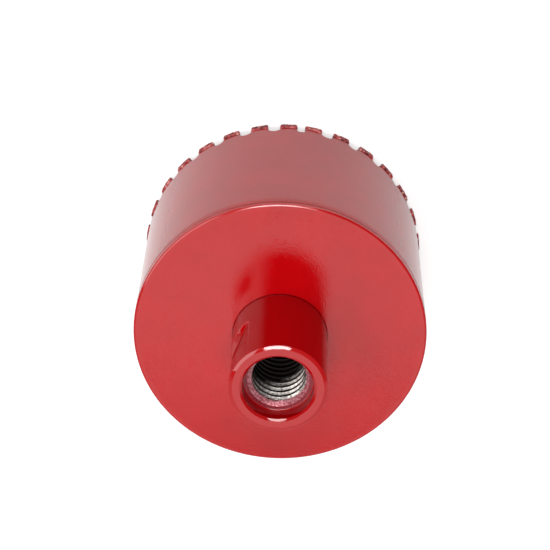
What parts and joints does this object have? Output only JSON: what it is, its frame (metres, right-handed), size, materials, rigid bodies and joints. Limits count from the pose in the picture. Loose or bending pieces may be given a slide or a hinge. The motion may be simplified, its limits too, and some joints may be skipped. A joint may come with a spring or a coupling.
{
  "type": "diamond core bit",
  "caption": "Cup-shaped core bit that cuts round holes in tile and masonry: a toothed steel tube with diamond tips, an end disc and a threaded shank.",
  "frame": {"origin": "on the bit's axis, in the plane of the diamond tips", "axes": "+Z along the axis from the tips to the shank's end, which is the way the bit unscrews; +X and +Y across it"},
  "size_m": [0.0686, 0.0686, 0.0677],
  "materials": {
    "cup_enamel": "satin red enamel on steel",
    "shank_enamel": "gloss red enamel on turned steel, bare steel in the threaded hole",
    "diamond_segment": "gritty sintered metal with a thin coat of red enamel"
  },
  "bodies": {
    "root": {"core_tube": "cup_enamel", "end_disc": "cup_enamel", "threaded_shank": "shank_enamel", "diamond_tip_01": "diamond_segment", "diamond_tip_02": "diamond_segment", "diamond_tip_03": "diamond_segment", "diamond_tip_04": "diamond_segment", "diamond_tip_05": "diamond_segment", "diamond_tip_06": "diamond_segment", "diamond_tip_07": "diamond_segment", "diamond_tip_08": "diamond_segment", "diamond_tip_09": "diamond_segment", "diamond_tip_10": "diamond_segment", "diamond_tip_11": "diamond_segment", "diamond_tip_12": "diamond_segment", "diamond_tip_13": "diamond_segment", "diamond_tip_14": "diamond_segment", "diamond_tip_15": "diamond_segment", "diamond_tip_16": "diamond_segment", "diamond_tip_17": "diamond_segment", "diamond_tip_18": "diamond_segment", "diamond_tip_19": "diamond_segment", "diamond_tip_20": "diamond_segment", "diamond_tip_21": "diamond_segment", "diamond_tip_22": "diamond_segment", "diamond_tip_23": "diamond_segment", "diamond_tip_24": "diamond_segment", "diamond_tip_25": "diamond_segment", "diamond_tip_26": "diamond_segment", "diamond_tip_27": "diamond_segment", "diamond_tip_28": "diamond_segment", "diamond_tip_29": "diamond_segment", "diamond_tip_30": "diamond_segment"}
  },
  "joints": []
}
